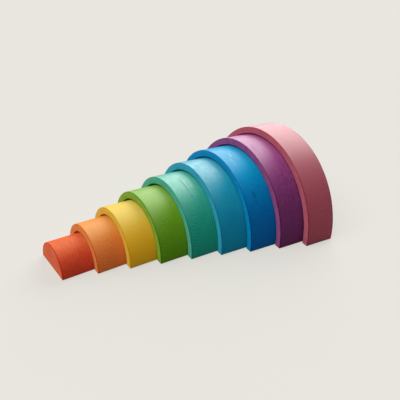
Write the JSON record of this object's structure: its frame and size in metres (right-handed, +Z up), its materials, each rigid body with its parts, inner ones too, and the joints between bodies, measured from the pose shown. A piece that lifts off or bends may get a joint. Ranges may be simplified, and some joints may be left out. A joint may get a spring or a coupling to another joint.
{
  "type": "rainbow stacker",
  "caption": "Wooden rainbow of nesting arches over a solid half-round core, dyed in rainbow colours and drawn out in a row; each piece slides into the next larger arch.",
  "frame": {"origin": "on the ground under the middle of the row, halfway between the core's foremost corner and the largest arch's back face", "axes": "+X across the arches, +Y square to the largest arch's faces and from the core to that arch, +Z up"},
  "size_m": [0.322, 0.489, 0.1625],
  "materials": {
    "red_wood": "matte dyed and oiled",
    "orange_wood": "matte dyed and oiled",
    "yellow_wood": "matte dyed and oiled",
    "green_wood": "matte dyed and oiled",
    "mint_wood": "matte dyed and oiled",
    "aqua_wood": "matte dyed and oiled",
    "blue_wood": "matte dyed and oiled",
    "purple_wood": "matte dyed and oiled",
    "pink_wood": "matte dyed and oiled"
  },
  "bodies": {
    "red_core": {"red_core": "red_wood"},
    "orange_arch": {"orange_arch": "orange_wood"},
    "yellow_arch": {"yellow_arch": "yellow_wood"},
    "green_arch": {"green_arch": "green_wood"},
    "mint_arch": {"mint_arch": "mint_wood"},
    "aqua_arch": {"aqua_arch": "aqua_wood"},
    "blue_arch": {"blue_arch": "blue_wood"},
    "purple_arch": {"purple_arch": "purple_wood"},
    "pink_arch": {"pink_arch": "pink_wood"}
  },
  "joints": [
    {"name": "red_core_slide", "type": "slide", "parent": "orange_arch", "child": "red_core", "axis": [0.105, -0.9945, 0], "range_m": [-0.05475, 0.01525]},
    {"name": "orange_arch_slide", "type": "slide", "parent": "yellow_arch", "child": "orange_arch", "axis": [0.0874, -0.9962, 0], "range_m": [-0.0523, 0.0177]},
    {"name": "yellow_arch_slide", "type": "slide", "parent": "green_arch", "child": "yellow_arch", "axis": [0.069, -0.9976, 0], "range_m": [-0.0509, 0.0191]},
    {"name": "green_arch_slide", "type": "slide", "parent": "mint_arch", "child": "green_arch", "axis": [0.0546, -0.9985, 0], "range_m": [-0.05405, 0.01595]},
    {"name": "mint_arch_slide", "type": "slide", "parent": "aqua_arch", "child": "mint_arch", "axis": [0.0328, -0.9995, 0], "range_m": [-0.0551, 0.0149]},
    {"name": "aqua_arch_slide", "type": "slide", "parent": "blue_arch", "child": "aqua_arch", "axis": [0.0144, -0.9999, 0], "range_m": [-0.05335, 0.01665]},
    {"name": "blue_arch_slide", "type": "slide", "parent": "purple_arch", "child": "blue_arch", "axis": [0.0068, -1, 0], "range_m": [-0.05405, 0.01595]},
    {"name": "purple_arch_slide", "type": "slide", "parent": "pink_arch", "child": "purple_arch", "axis": [0.0027, -1, 0], "range_m": [-0.05125, 0.01875]}
  ]
}
